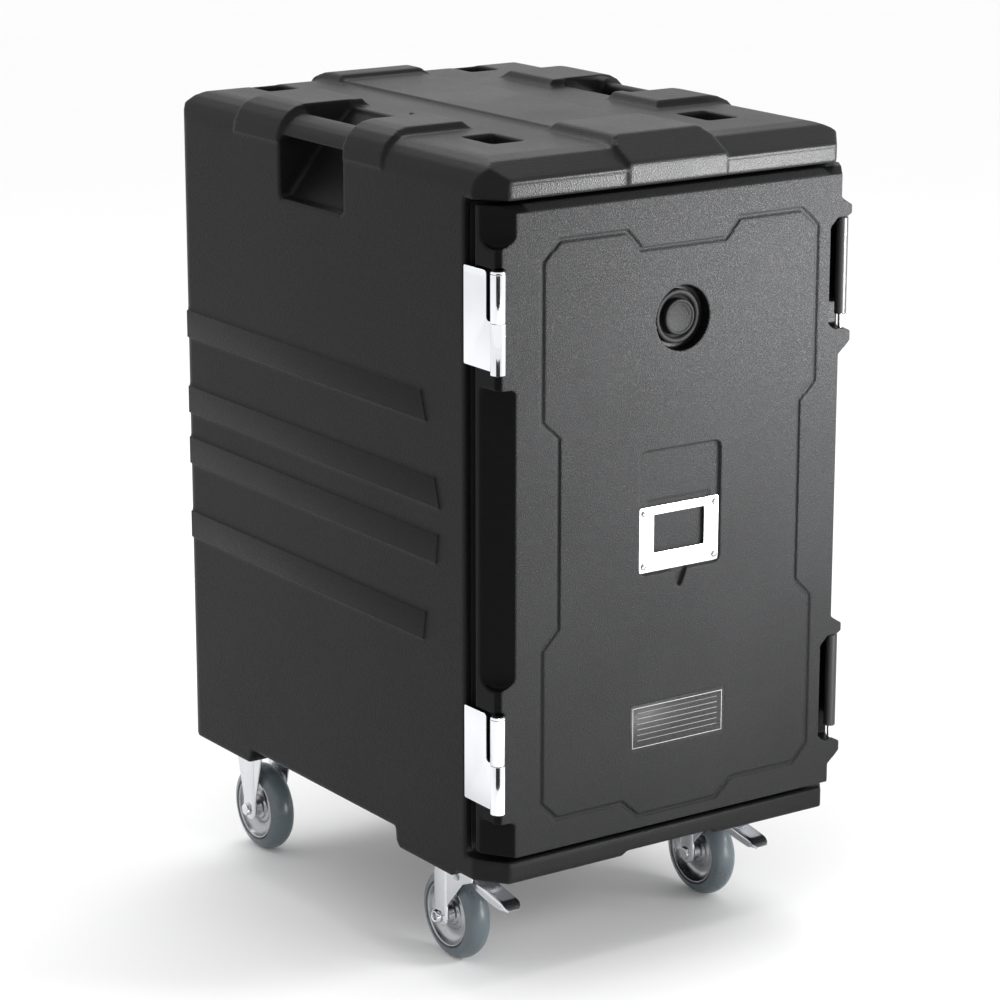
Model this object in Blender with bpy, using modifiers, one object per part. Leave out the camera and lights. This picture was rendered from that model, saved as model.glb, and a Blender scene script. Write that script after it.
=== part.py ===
"""Insulated front-loading food carrier on casters, as separate closed solids.

Frame: +Z up, floor at z = 0, door faces -Y, hinges at -X, latches at +X.
Lengths below are millimetres; "depth" is measured backwards from the sill front.
"""
import math

import bmesh
import bpy
from mathutils import Matrix, Vector

MM = 0.001
GAP = 0.3                      # clearance between touching pieces
DEPTH_DATUM = 298.2            # depth of the model origin

# Body
HALF_W = 230.0
BODY_FRONT = 47.0              # front face of the body frame, behind the door
BODY_REAR = 613.0
BODY_BOTTOM = 154.0
BODY_TOP = 888.0
EDGE_R = 32.0                  # roll of the top edges
REAR_R = 19.0                  # rear upright edges
WALL = 4.0
CHAMFER_X = 24.0               # corner chamfer of brow and sill, across
CHAMFER_D = 32.0               # the same, front to back
BROW_BOTTOM = 849.0
BROW_LIP = 868.0
SILL_TOP = 163.0
SILL_BOTTOM = 139.0
FOOT_INNER = 67.0
FOOT_FRONT_Z = 132.0
FOOT_REAR_Z = 137.0
PAD_TOP = 896.0
STRIP_TOP = 891.0
STRIP_HALF = 53.0

# Grip pockets at both top side edges
GRIP_D0 = 271.0
GRIP_D1 = 397.0
GRIP_FLOOR = 798.0
GRIP_INNER = 140.0
BAR_UNDER = 864.0

# Cavity
CAV_HALF = 170.0
CAV_BOTTOM = 203.0
CAV_TOP = 780.0
CAV_REAR = 576.0
LINER_WALL = 3.0
FLANGE_HALF = 222.0
FLANGE_Z0 = 168.0
FLANGE_Z1 = 844.0
RAIL_COUNT = 7
RAIL_PITCH = 75.0
RAIL_FIRST = 252.0
RAIL_REACH = 16.0
RACK_PANEL = 2.5

# Door
DOOR_HALF = 228.0
DOOR_FRONT = -10.0
DOOR_BACK = 31.0
DOOR_Z0 = 172.0
DOOR_Z1 = 845.0
FLAT_X = 22.0                  # corner flats of the door
FLAT_D = 32.0
SKIN = 8.0

# Hinges (door turns about the upright line through the front left corner)
HINGE_X = -228.0
HINGE_D = -10.0
HINGE_PITCH = 456.0
HINGE_Z0 = 683.0               # upper hinge, bottom of its plate
HINGE_H = 100.0
KNUCKLE_R = 7.8
HINGE_PIN_R = 3.4

# Latches
LATCH_X = 213.0
LATCH_D = -3.0
LATCH_PITCH = 455.0
LATCH_Z0 = 689.3               # upper latch, bottom of its barrel
LATCH_Z1 = 792.4
BARREL_R = 6.35
LATCH_PIN_R = 2.3
LATCH_OUTER = 235.8

# Vent, menu holder and label
VENT_Z = 711.0
VENT_R = 34.0
MENU_HALF = 52.0
MENU_Z0 = 446.0
MENU_Z1 = 577.0
LABEL_HALF = 62.0
LABEL_Z0 = 257.0
LABEL_Z1 = 308.0

# Casters
TRACK_HALF = 166.0
SWIVEL_D = 122.5
TRAIL = 35.0
REAR_AXLE_D = 559.0
WHEEL_R = 51.0
WHEEL_SIDES = 32
AXLE_Z = WHEEL_R * math.cos(math.pi / WHEEL_SIDES)


def clear_scene():
    for obj in list(bpy.data.objects):
        bpy.data.objects.remove(obj, do_unlink=True)


clear_scene()
PARTS = bpy.data.collections.new("insulated_food_carrier")
CUTTERS = bpy.data.collections.new("cutters")
bpy.context.scene.collection.children.link(PARTS)
bpy.context.scene.collection.children.link(CUTTERS)


# ---------------------------------------------------------------- materials
def material(name, colour, metallic, roughness):
    mat = bpy.data.materials.new(name)
    mat.use_nodes = True
    shader = mat.node_tree.nodes["Principled BSDF"]
    shader.inputs["Base Color"].default_value = (*colour, 1.0)
    shader.inputs["Metallic"].default_value = metallic
    shader.inputs["Roughness"].default_value = roughness
    return mat


SHELL = (0.045, 0.046, 0.049)
LOOKS = {
    "shell_plastic": (SHELL, 0.0, 0.55),
    "liner_plastic": ((0.09, 0.09, 0.095), 0.0, 0.5),
    "foam": ((0.78, 0.72, 0.52), 0.0, 0.9),
    "gasket_rubber": ((0.03, 0.03, 0.03), 0.0, 0.7),
    "nylon": ((0.02, 0.02, 0.021), 0.0, 0.45),
    "hinge_chrome": ((0.82, 0.82, 0.83), 1.0, 0.12),
    "pin_steel": ((0.6, 0.6, 0.61), 1.0, 0.3),
    "frame_steel": ((0.72, 0.72, 0.73), 1.0, 0.28),
    "label_foil": ((0.06, 0.06, 0.065), 0.2, 0.4),
    "zinc_plate": ((0.68, 0.69, 0.7), 1.0, 0.3),
    "rim_metal": ((0.55, 0.56, 0.58), 0.9, 0.32),
    "tyre_grey": ((0.2, 0.24, 0.28), 0.0, 0.42),
}
MATS = {key: material(key, *look) for key, look in LOOKS.items()}


# ------------------------------------------------------------------ helpers
def point(x, depth, z):
    return Vector((x * MM, (depth - DEPTH_DATUM) * MM, z * MM))


def finish_mesh(name, bm, look=None):
    bmesh.ops.remove_doubles(bm, verts=bm.verts, dist=1e-6)
    bmesh.ops.recalc_face_normals(bm, faces=bm.faces)
    mesh = bpy.data.meshes.new(name)
    bm.to_mesh(mesh)
    bm.free()
    obj = bpy.data.objects.new(name, mesh)
    if look is None:
        CUTTERS.objects.link(obj)
        obj.hide_render = True
        obj.display_type = "WIRE"
    else:
        PARTS.objects.link(obj)
        mesh.materials.append(MATS[look])
    return obj


def box(name, xs, ds, zs, look=None):
    bm = bmesh.new()
    bmesh.ops.create_cube(bm, size=1.0)
    for vert in bm.verts:
        x = xs[0] if vert.co.x < 0 else xs[1]
        depth = ds[0] if vert.co.y < 0 else ds[1]
        z = zs[0] if vert.co.z < 0 else zs[1]
        vert.co = point(x, depth, z)
    return finish_mesh(name, bm, look)


def prism(name, outline, axis, low, high, look=None):
    """Extrude an outline: axis x takes (depth, z), d takes (x, z), z takes (x, depth)."""
    place = {
        "x": lambda a, b, c: point(c, a, b),
        "d": lambda a, b, c: point(a, c, b),
        "z": lambda a, b, c: point(a, b, c),
    }[axis]
    bm = bmesh.new()
    verts = [bm.verts.new(place(a, b, low)) for a, b in outline]
    face = bm.faces.new(verts)
    grown = bmesh.ops.extrude_face_region(bm, geom=[face])
    moved = [g for g in grown["geom"] if isinstance(g, bmesh.types.BMVert)]
    shift = place(0, 0, high) - place(0, 0, low)
    bmesh.ops.translate(bm, verts=moved, vec=shift)
    return finish_mesh(name, bm, look)


def lathe(name, profile, axis, centre, sides, look=None, phase=0.0):
    """Spin a closed (radius, offset) profile about a line along x, d or z."""
    bm = bmesh.new()
    verts = [bm.verts.new((r, 0.0, off)) for r, off in profile]
    edges = []
    for i, vert in enumerate(verts):
        nearby = verts[(i + 1) % len(verts)]
        if vert.co.x > 1e-9 or nearby.co.x > 1e-9:
            edges.append(bm.edges.new((vert, nearby)))
    bmesh.ops.rotate(bm, verts=bm.verts, matrix=Matrix.Rotation(phase, 3, "Z"))
    bmesh.ops.spin(
        bm, geom=verts + edges, cent=(0.0, 0.0, 0.0), axis=(0.0, 0.0, 1.0),
        angle=2.0 * math.pi, steps=sides, use_merge=True,
    )
    return finish_turned(name, bm, axis, centre, look)


def rod(name, radius, axis, centre, low, high, sides, look=None):
    bm = bmesh.new()
    lift = Matrix.Translation((0.0, 0.0, (low + high) / 2.0))
    turn = Matrix.Rotation(math.pi / sides, 4, "Z")
    bmesh.ops.create_cone(
        bm, cap_ends=True, segments=sides, radius1=radius, radius2=radius,
        depth=high - low, matrix=lift @ turn,
    )
    return finish_turned(name, bm, axis, centre, look)


def finish_turned(name, bm, axis, centre, look):
    """Lay a piece turned about local Z along its own axis, in metres."""
    x, depth, z = centre
    for vert in bm.verts:
        u, v, off = vert.co
        if axis == "x":
            vert.co = point(x + off, depth + u, z + v)
        elif axis == "d":
            vert.co = point(x + u, depth + off, z + v)
        else:
            vert.co = point(x + u, depth + v, z + off)
    obj = finish_mesh(name, bm, look)
    if look is not None:
        obj.data.shade_smooth()
        obj.data.set_sharp_from_angle(angle=math.radians(35.0))
    return obj


def arc(cx, cy, radius, start, stop, steps):
    points = []
    for step in range(steps + 1):
        angle = math.radians(start + (stop - start) * step / steps)
        points.append((cx + radius * math.cos(angle), cy + radius * math.sin(angle)))
    return points


def rounded(x0, x1, y0, y1, radius, steps=3):
    return (
        arc(x1 - radius, y0 + radius, radius, -90, 0, steps)
        + arc(x1 - radius, y1 - radius, radius, 0, 90, steps)
        + arc(x0 + radius, y1 - radius, radius, 90, 180, steps)
        + arc(x0 + radius, y0 + radius, radius, 180, 270, steps)
    )


def mirrored(points):
    return [(-x, y) for x, y in reversed(points)]


def offset_outline(points, distance):
    """Move a closed counter-clockwise outline outwards by a distance."""
    result = []
    count = len(points)
    for i in range(count):
        before = Vector(points[i - 1])
        here = Vector(points[i])
        after = Vector(points[(i + 1) % count])
        into = (here - before).normalized()
        out = (after - here).normalized()
        normal_in = Vector((into.y, -into.x))
        normal_out = Vector((out.y, -out.x))
        middle = (normal_in + normal_out).normalized()
        reach = distance / max(middle.dot(normal_in), 0.2)
        result.append(tuple(here + middle * reach))
    return result


def boolean(obj, other, operation):
    mod = obj.modifiers.new(f"{operation.lower()}_{other.name}", "BOOLEAN")
    mod.object = other
    mod.operation = operation
    mod.solver = "EXACT"


def cut(obj, *others):
    for other in others:
        boolean(obj, other, "DIFFERENCE")


def add(obj, *others):
    for other in others:
        boolean(obj, other, "UNION")


def keep(obj, other):
    boolean(obj, other, "INTERSECT")


def soften(obj, width, segments, chosen):
    """Bevel the edges whose two ends satisfy a test; the test returns a weight."""
    mesh = obj.data
    weights = mesh.attributes.new("bevel_weight_edge", "FLOAT", "EDGE")
    for edge in mesh.edges:
        ends = [mesh.vertices[i].co for i in edge.vertices]
        weights.data[edge.index].value = chosen(*ends)
    mod = obj.modifiers.new("soft_edges", "BEVEL")
    mod.limit_method = "WEIGHT"
    mod.width = width * MM
    mod.segments = segments
    mod.use_clamp_overlap = True


# --------------------------------------------------------------- body shell
def top_edge_weight(top, rear, rear_weight):
    top_z = top * MM
    rear_y = (rear - DEPTH_DATUM) * MM

    def weight(a, b):
        along_side = abs(a.x - b.x) < 1e-6
        both_top = min(a.z, b.z) > top_z - 1e-6
        both_rear = min(a.y, b.y) > rear_y - 1e-6
        if both_top and (along_side or both_rear):
            return 1.0
        if both_rear and abs(a.z - b.z) > 1e-6:
            return rear_weight
        return 0.0

    return weight


def body_side_outline():
    """Side view of the whole body: sill, door bay, brow, top, rear and feet."""
    sill = [(2.5, SILL_BOTTOM), (0.0, SILL_BOTTOM + 2.5), (0.0, SILL_TOP - 3.0), (3.0, SILL_TOP)]
    bay = [(BODY_FRONT, SILL_TOP), (BODY_FRONT, BROW_BOTTOM)]
    brow = [
        (1.6, BROW_BOTTOM), (1.6, BROW_LIP - 2.2), (0.0, BROW_LIP - 1.4), (0.0, BROW_LIP),
        (3.0, BROW_LIP + 2.6), (28.0, 885.6), (BODY_FRONT, BODY_TOP),
    ]
    rear = arc(BODY_REAR - EDGE_R, BODY_TOP - EDGE_R, EDGE_R, 90, 0, 5)
    under = [
        (BODY_REAR, 143.0), (606.0, FOOT_REAR_Z), (485.0, FOOT_REAR_Z), (478.5, 144.0),
        (477.0, BODY_BOTTOM),
        (180.0, BODY_BOTTOM), (179.0, 138.5), (173.0, FOOT_FRONT_Z), (72.0, FOOT_FRONT_Z),
        (65.0, SILL_BOTTOM),
    ]
    return sill + bay + brow + rear + under


def body_front_outline():
    """Front view outline with the two upper edges rolled."""
    centre_x = HALF_W - EDGE_R
    centre_z = BODY_TOP + 0.4 - EDGE_R
    right = arc(centre_x, centre_z, EDGE_R, 0, 90, 5)
    return [(HALF_W, 120.0)] + right + mirrored(right)[::1] + [(-HALF_W, 120.0)]


def body_plan_outline():
    """Plan outline: front corner chamfers and rounded rear corners."""
    ratio = CHAMFER_D / CHAMFER_X
    near = HALF_W - CHAMFER_X
    centre_x = HALF_W - REAR_R
    centre_d = BODY_REAR - REAR_R
    reach = REAR_R / math.cos(math.radians(15))
    sin = math.sin(math.radians(15))
    cos = math.cos(math.radians(15))
    first = centre_d + (REAR_R - (240.0 - centre_x) * cos) / sin
    last = centre_x + (REAR_R - (625.0 - centre_d) * cos) / sin
    right = [(near - 10.0 / ratio, -10.0), (240.0, CHAMFER_D + 10.0 * ratio), (240.0, first)]
    right += arc(centre_x, centre_d, reach, 30, 60, 1) + [(last, 625.0)]
    return right + mirrored(right)


def body_block():
    block = prism("body_shell", body_side_outline(), "x", -245.0, 245.0, "shell_plastic")
    keep(block, prism("body_front_view", body_front_outline(), "d", -20.0, 640.0))
    keep(block, prism("body_plan_view", body_plan_outline(), "z", 100.0, 920.0))
    arch = [(-62.0, 120.0), (-62.0, 138.8), (-56.0, 144.0), (56.0, 144.0), (62.0, 138.8), (62.0, 120.0)]
    cut(block, prism("sill_arch", arch, "d", -5.0, 80.0))
    cut(block, box("foot_space", (-FOOT_INNER, FOOT_INNER), (75.0, 640.0), (110.0, BODY_BOTTOM + 0.8)))
    return block


def side_pad(tag, sign, d_low, d_high, slope_at):
    """Raised pad that wraps the top side edge next to the grip opening."""
    outer = HALF_W + 1.0
    inner = 118.0
    rise = PAD_TOP - BODY_TOP
    radius = 36.0
    roll = arc(outer - radius, PAD_TOP - radius, radius, 0, 90, 5)
    outline = [(outer, 857.3)] + roll
    outline += [(inner + rise, PAD_TOP), (inner - 3.0, BODY_TOP - 3.0), (inner - 3.0, 878.0)]
    outline += [(199.0, 857.3)]
    if sign < 0:
        outline = mirrored(outline)
    piece = prism(f"pad_{tag}", outline, "d", d_low, d_high)
    d_rise = rise if slope_at == "low" else 0.0
    u_rise = rise if slope_at == "high" else 0.0
    lim0 = d_low - (0.0 if d_rise else 2.5)
    lim1 = d_high + (0.0 if u_rise else 2.5)
    side = [
        (lim0, 850.0), (lim0, BODY_TOP), (lim0 + d_rise + 1.0, PAD_TOP + 1.0), (lim0 + d_rise + 1.0, 900.0),
        (lim1 - u_rise - 1.0, 900.0), (lim1 - u_rise - 1.0, PAD_TOP + 1.0), (lim1, BODY_TOP), (lim1, 850.0),
    ]
    keep(piece, prism(f"pad_{tag}_side", side, "x", -240.0, 240.0))
    return piece


def centre_pad(tag, side):
    piece = prism(f"centre_pad_{tag}", side, "x", -70.0, 70.0)
    half = STRIP_HALF
    front = [
        (-half - 9, 840), (-half - 9, BODY_TOP + 0.5), (-half, PAD_TOP + 1.5), (-half, 905),
        (half, 905), (half, PAD_TOP + 1.5), (half + 9, BODY_TOP + 0.5), (half + 9, 840),
    ]
    keep(piece, prism(f"centre_pad_{tag}_front", front, "d", -20.0, 640.0))
    return piece


def grip_outline(sign, grow):
    outline = [
        (245.0, GRIP_FLOOR - grow), (217.0 - grow, GRIP_FLOOR - grow), (168.0 - grow, 858.0 - grow),
        (GRIP_INNER - grow, 884.0), (GRIP_INNER - grow, 905.0), (245.0, 905.0),
    ]
    return mirrored(outline) if sign < 0 else outline


def grip_pocket(tag, sign):
    piece = prism(f"grip_{tag}", grip_outline(sign, 0.0), "d", GRIP_D0, GRIP_D1)
    soften(piece, 9.0, 3, lambda a, b: 1.0 if is_grip_corner(a, b) else 0.0)
    return piece


def is_grip_corner(a, b):
    low = min(a.z, b.z) < (GRIP_FLOOR + 70.0) * MM
    same_depth = abs(a.y - b.y) < 1e-6
    return low and same_depth and abs(a.x - b.x) < 0.06 and max(a.z, b.z) < 0.87


def grip_bar(tag, sign):
    centre_x = HALF_W - EDGE_R
    centre_z = BODY_TOP - EDGE_R
    outline = arc(centre_x, centre_z, EDGE_R - 1.0, 18, 84, 5)
    outline += [(198.0, 885.8), (195.0, 882.0), (194.5, 874.0), (198.0, 867.0)]
    outline += [(205.0, BAR_UNDER), (224.0, BAR_UNDER)]
    if sign < 0:
        outline = mirrored(outline)
    return prism(f"bar_{tag}", outline, "d", GRIP_D0 - 4.0, GRIP_D1 + 4.0)


SOCKETS = [(118.0, 156.0, 104.0, 160.0), (117.0, 153.0, 543.0, 590.0)]


def socket_blocks(tag, grow, bottom):
    blocks = []
    for row, (x0, x1, d0, d1) in enumerate(SOCKETS):
        for sign in (-1, 1):
            xs = sorted((sign * (x0 - grow), sign * (x1 + grow)))
            name = f"socket_{tag}_{row}_{'l' if sign < 0 else 'r'}"
            blocks.append(box(name, xs, (d0 - grow, d1 + grow), (bottom, 910.0)))
    return blocks


BANDS = [
    (641.0, 610.0, 124.0, 114.0), (554.0, 523.0, 99.0, 90.0),
    (495.0, 464.0, 93.0, 97.0), (408.0, 377.0, 116.0, 121.0),
]


def side_band(index, sign):
    upper, lower, end_upper, end_lower = BANDS[index]
    rear = BODY_REAR - REAR_R * 0.6
    outline = [(end_lower, lower), (rear, lower), (rear, upper), (end_upper, upper)]
    xs = sorted((sign * (HALF_W - 2.0), sign * (HALF_W + 1.6)))
    piece = prism(f"band_{index}_{'l' if sign < 0 else 'r'}", outline, "x", *xs)
    outer = (HALF_W + 1.0) * MM
    soften(piece, 1.5, 1, lambda a, b: 1.0 if min(abs(a.x), abs(b.x)) > outer else 0.0)
    return piece


def hollow(tag, gap):
    """The space inside the outer shell, drawn in by a gap on every side."""
    wall = WALL + gap
    piece = box(
        f"hollow_{tag}", (-HALF_W + wall, HALF_W - wall), (BODY_FRONT + wall, BODY_REAR - wall),
        (BODY_BOTTOM + wall, BODY_TOP - wall),
    )
    weight = top_edge_weight(BODY_TOP - wall, BODY_REAR - wall, 0.5)
    soften(piece, EDGE_R - wall, 4, weight)
    cut(piece, *socket_blocks(f"{tag}_wall", WALL + gap, 866.0 - WALL - gap))
    for sign, side in ((-1, "l"), (1, "r")):
        outline = grip_outline(sign, WALL + gap)
        keep_out = (GRIP_D0 - WALL - gap, GRIP_D1 + WALL + gap)
        cut(piece, prism(f"grip_wall_{tag}_{side}", outline, "d", *keep_out))
    return piece


def make_body_shell():
    shell = body_block()
    add(shell, box("strip", (-STRIP_HALF, STRIP_HALF), (60.0, 590.0), (880.0, STRIP_TOP)))
    front_pad = [(2.5, 850.5), (-0.1, 850.5), (-0.1, 873.5), (39.0, 897.0), (138.0, 897.0), (149.5, 885.5),
                 (149.5, 872.0), (60.0, 860.0), (30.0, 850.5)]
    roll = arc(614.2 - 36.0, 897.0 - 36.0, 36.0, 90, 0, 5)
    rear_pad = [(598.0, 855.0), (542.0, 872.0), (542.0, 885.0), (554.0, 897.0)] + roll + [(614.2, 855.0)]
    add(shell, centre_pad("front", front_pad), centre_pad("rear", rear_pad))
    for sign, tag in ((-1, "l"), (1, "r")):
        add(shell, side_pad(f"{tag}_front", sign, 195.0, 284.0, "low"))
        add(shell, side_pad(f"{tag}_rear", sign, 393.0, 490.0, "high"))
        cut(shell, grip_pocket(tag, sign))
        add(shell, grip_bar(tag, sign))
        add(shell, *[side_band(i, sign) for i in range(len(BANDS))])
    cut(shell, *socket_blocks("open", 0.0, 866.0))
    cut(shell, hollow("shell", 0.0))
    mouth = (BODY_FRONT - 5.0, BODY_FRONT + WALL + 4.0)
    cut(shell, box("mouth", (-FLANGE_HALF, FLANGE_HALF), mouth, (FLANGE_Z0, FLANGE_Z1)))
    return shell


def make_body_foam():
    foam = hollow("foam", 2.5 * GAP)
    CUTTERS.objects.unlink(foam)
    PARTS.objects.link(foam)
    foam.name = "body_foam"
    foam.hide_render = False
    foam.display_type = "TEXTURED"
    foam.data.materials.append(MATS["foam"])
    half = CAV_HALF + LINER_WALL + GAP
    low = CAV_BOTTOM - LINER_WALL - GAP
    high = CAV_TOP + LINER_WALL + GAP
    cut(foam, box("liner_space", (-half, half), (40.0, CAV_REAR + LINER_WALL + GAP), (low, high)))


def upright_corner(a, b):
    return 1.0 if abs(a.z - b.z) < 1e-6 and abs(a.x - b.x) < 1e-6 else 0.0


def make_liner():
    half = CAV_HALF + LINER_WALL
    outer_z = (CAV_BOTTOM - LINER_WALL, CAV_TOP + LINER_WALL)
    liner = box("inner_liner", (-half, half), (BODY_FRONT, CAV_REAR + LINER_WALL), outer_z, "liner_plastic")
    flange_half = FLANGE_HALF - GAP
    flange_z = (FLANGE_Z0 + GAP, FLANGE_Z1 - GAP)
    add(liner, box("liner_flange", (-flange_half, flange_half), (BODY_FRONT, BODY_FRONT + 3.0), flange_z))
    space = box("cavity", (-CAV_HALF, CAV_HALF), (30.0, CAV_REAR), (CAV_BOTTOM, CAV_TOP))
    soften(space, 14.0, 3, upright_corner)
    cut(liner, space)
    for sign, tag in ((-1, "left"), (1, "right")):
        make_rack(tag, sign)


def make_rack(tag, sign):
    """Upright panel with seven pan rails, clipped against the liner's side wall."""
    back = CAV_HALF - GAP
    face = back - RACK_PANEL
    tip = CAV_HALF - RAIL_REACH
    top = RAIL_FIRST + RAIL_PITCH * (RAIL_COUNT - 1) + 20.0
    outline = [(back, top), (face, top)]
    for index in reversed(range(RAIL_COUNT)):
        z = RAIL_FIRST + RAIL_PITCH * index
        outline += [(face, z), (tip, z), (tip, z - 4.0), (tip + 4.0, z - 6.0), (face, z - 13.0)]
    outline += [(face, RAIL_FIRST - 24.0), (back, RAIL_FIRST - 24.0)]
    if sign < 0:
        outline = mirrored(outline)
    prism(f"pan_rack_{tag}", outline, "d", 62.0, CAV_REAR - 15.0, "liner_plastic")


# --------------------------------------------------------------------- door
def flat_cutter(name, z0, z1, top_r, bottom_r):
    """Slab that shaves a flat across the hinge-side corner between two heights."""
    along = Vector((FLAT_X, -FLAT_D)).normalized()
    out = Vector((-FLAT_D, -FLAT_X)).normalized()
    half = math.hypot(FLAT_X, FLAT_D) / 2.0 + 1.2
    middle = Vector((-DOOR_HALF + FLAT_X / 2.0, DOOR_FRONT + FLAT_D / 2.0))
    outline = arc(half - bottom_r, z0 + bottom_r, bottom_r, -90, 0, 5)
    outline += arc(half - top_r, z1 - top_r, top_r, 0, 90, 4)
    outline += arc(-half + top_r, z1 - top_r, top_r, 90, 180, 4)
    outline += arc(-half + bottom_r, z0 + bottom_r, bottom_r, 180, 270, 5)
    bm = bmesh.new()
    verts = []
    for u, z in outline:
        spot = middle + along * u
        verts.append(bm.verts.new(point(spot.x, spot.y, z)))
    face = bm.faces.new(verts)
    grown = bmesh.ops.extrude_face_region(bm, geom=[face])
    moved = [g for g in grown["geom"] if isinstance(g, bmesh.types.BMVert)]
    bmesh.ops.translate(bm, verts=moved, vec=Vector((out.x, out.y, 0.0)) * 40.0 * MM)
    return finish_mesh(name, bm)


def latch_side_wedge():
    ratio = FLAT_D / FLAT_X
    near = DOOR_HALF - FLAT_X
    outline = [
        (near - 10.0 / ratio, DOOR_FRONT - 10.0), (DOOR_HALF + 20.0, DOOR_FRONT - 10.0),
        (DOOR_HALF + 20.0, DOOR_FRONT + FLAT_D + 20.0 * ratio),
    ]
    return prism("latch_side_wedge", outline, "z", 160.0, 860.0)


def lug(name, outline, shift):
    moved = [(x, z - shift) for x, z in outline]
    return prism(name, moved, "d", DOOR_FRONT, 20.0)


TOP_LUG = [(198, 818), (205, 815), (208, 813), (221, 805), (221, 796.5), (214, 793), (198, 793)]
LOW_LUG = [(198, 675), (214, 675), (222, 671), (222, 661), (209, 649), (198, 645)]
LATCH_RECESS = [(192, 682), (192, 783), (202, 793), (250, 793), (250, 675), (200, 675)]


def groove_centre_line():
    right = [
        (53, 787), (72, 807), (153.5, 807), (174, 788), (174, 623), (154, 605), (154, 408),
        (174, 388), (174, 223), (154.5, 204), (72, 204), (51, 186),
    ]
    return list(reversed(right)) + [(-x, z) for x, z in right]


def groove_cutter():
    line = groove_centre_line()
    ring = prism("groove", offset_outline(line, 2.6), "d", DOOR_FRONT - 3.0, DOOR_FRONT + 2.6)
    cut(ring, prism("groove_island", offset_outline(line, -2.6), "d", DOOR_FRONT - 4.0, DOOR_FRONT + 4.0))
    return ring


def door_hollow(name, gap):
    front = DOOR_FRONT + SKIN + gap
    side = DOOR_HALF - 6.0 - gap
    outline = [
        (-side, 28.0 - gap if gap else 33.0), (-side, 25.0), (-201.0 + gap, front), (187.0 - gap, front),
        (187.0 - gap, 17.0 + gap), (215.0, 17.0 + gap), (side, 26.0), (side, 28.0 - gap if gap else 33.0),
    ]
    piece = prism(name, outline, "z", DOOR_Z0 + 6.0 + gap, DOOR_Z1 - 11.0 - gap)
    vent_boss = rod(f"{name}_vent", VENT_R + 4.0 + gap, "d", (0.0, 0.0, VENT_Z), -12.0, 8.0 + gap, 24)
    cut(piece, vent_boss)
    return piece


def corner_edge_space(name, radius, z0, z1):
    return rod(name, radius, "z", (HINGE_X, HINGE_D, 0.0), z0, z1, 16)


def screw_spots():
    return [(-45.8, 511.5), (45.8, 511.5), (-45.8, 455.0), (45.8, 455.0)]


def make_door_shell():
    wide = (-DOOR_HALF, DOOR_HALF)
    door = box("door_shell", wide, (DOOR_FRONT, DOOR_BACK), (DOOR_Z0, DOOR_Z1), "shell_plastic")
    cut(door, latch_side_wedge())
    crown = [(-20.0, 834.7), (8.0, 846.7), (8.0, 860.0), (-20.0, 860.0)]
    cut(door, prism("door_crown", crown, "x", -240.0, 240.0))
    cut(door, flat_cutter("flat_top", 804.0, 880.0, 8.0, 19.0))
    cut(door, flat_cutter("flat_mid", 352.0, 663.0, 8.0, 19.0))
    cut(door, flat_cutter("flat_low", 140.0, 211.0, 8.0, 8.0))
    for shift, tag in ((0.0, "up"), (LATCH_PITCH, "low")):
        recess = [(x, z - shift) for x, z in LATCH_RECESS]
        cut(door, prism(f"latch_recess_{tag}", recess, "d", -25.0, 13.0))
        add(door, lug(f"lug_top_{tag}", TOP_LUG, shift), lug(f"lug_low_{tag}", LOW_LUG, shift))
        pin_space = (LATCH_X, LATCH_D, -shift)
        cut(door, rod(f"latch_pin_space_{tag}", LATCH_PIN_R + GAP, "z", pin_space, 655.0, 808.3, 16))
    for shift, tag in ((0.0, "up"), (HINGE_PITCH, "low")):
        cut(door, corner_edge_space(f"corner_slot_{tag}", 4.4, 655.0 - shift, 815.0 - shift))
        cut(door, corner_edge_space(f"knuckle_space_{tag}", 8.4, 679.0 - shift, 786.5 - shift))
        leaf_z = (734.2 - shift, 784.0 - shift)
        cut(door, box(f"leaf_space_{tag}", (-235.0, -225.3), (-9.0, 29.0), leaf_z))
    cut(door, groove_cutter())
    cut(door, rod("vent_recess", VENT_R, "d", (0.0, 0.0, VENT_Z), -20.0, 4.0, 32))
    menu = rounded(-MENU_HALF, MENU_HALF, MENU_Z0, MENU_Z1, 7.0)
    cut(door, prism("menu_recess", menu, "d", -20.0, -6.0))
    card = box("card_pocket", (-41.0, 41.0), (-7.0, -4.4), (450.0, 524.0))
    notch = [(-11.0, 450.0), (11.0, 450.0), (3.0, 430.0), (0.0, 427.5), (-3.0, 430.0)]
    cut(door, card, prism("menu_notch", notch[::-1], "d", -20.0, -5.0))
    for index, (x, z) in enumerate(screw_spots()):
        cut(door, rod(f"menu_screw_space_{index}", 1.8, "d", (x, 0.0, z), -8.0, -3.2, 12))
    label = rounded(-LABEL_HALF, LABEL_HALF, LABEL_Z0, LABEL_Z1, 3.0, 2)
    cut(door, prism("label_recess", label, "d", -20.0, -9.0))
    cut(door, door_hollow("door_hollow", 0.0))


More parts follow.
